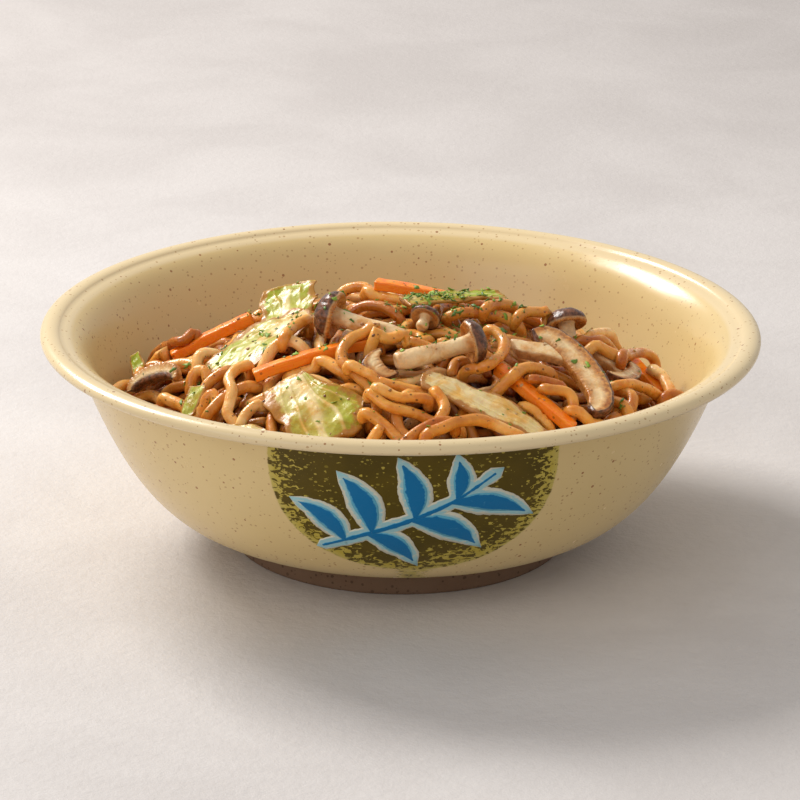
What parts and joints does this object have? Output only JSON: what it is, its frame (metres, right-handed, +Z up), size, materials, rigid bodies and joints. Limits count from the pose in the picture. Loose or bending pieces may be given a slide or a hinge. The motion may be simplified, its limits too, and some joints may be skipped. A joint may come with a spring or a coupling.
{
  "type": "bowl of noodles",
  "caption": "Wide stoneware bowl on a foot ring, heaped with sauced stir-fried noodles, cabbage, carrot strips and mushrooms.",
  "frame": {"origin": "middle of the foot ring's flat base, on the surface the bowl stands on", "axes": "+Z up, -Y towards the front with the painted panel, +X to the right seen from the front"},
  "size_m": [0.24, 0.24, 0.0925],
  "materials": {
    "glaze": "glossy cream glaze with fine brown speckles, a mottled olive panel on the front and a bare clay foot",
    "noodle": "cooked wheat noodle, wet with brown sauce",
    "carrot": "cooked carrot, moist",
    "cabbage": "fried cabbage, pale green to cream, moist with browned edges",
    "mushroom": "fried mushroom, dark brown skin and tan flesh, moist"
  },
  "bodies": {
    "root": {"bowl": "glaze", "cabbage_bit_front": "cabbage", "cabbage_bit_left": "cabbage", "cabbage_bit_wall": "cabbage", "cabbage_front": "cabbage", "cabbage_front_rib": "cabbage", "cabbage_left_back": "cabbage", "cabbage_left_long": "cabbage", "cabbage_right_back": "cabbage", "carrot_back": "carrot", "carrot_center": "carrot", "carrot_far_right": "carrot", "carrot_left": "carrot", "carrot_right": "carrot", "mushroom_center": "mushroom", "mushroom_left": "mushroom", "mushroom_right_back": "mushroom", "mushroom_slice_center": "mushroom", "mushroom_slice_far_right": "mushroom", "mushroom_slice_left": "mushroom", "mushroom_slice_right": "mushroom", "mushroom_top": "mushroom", "noodles": "noodle"}
  },
  "joints": []
}
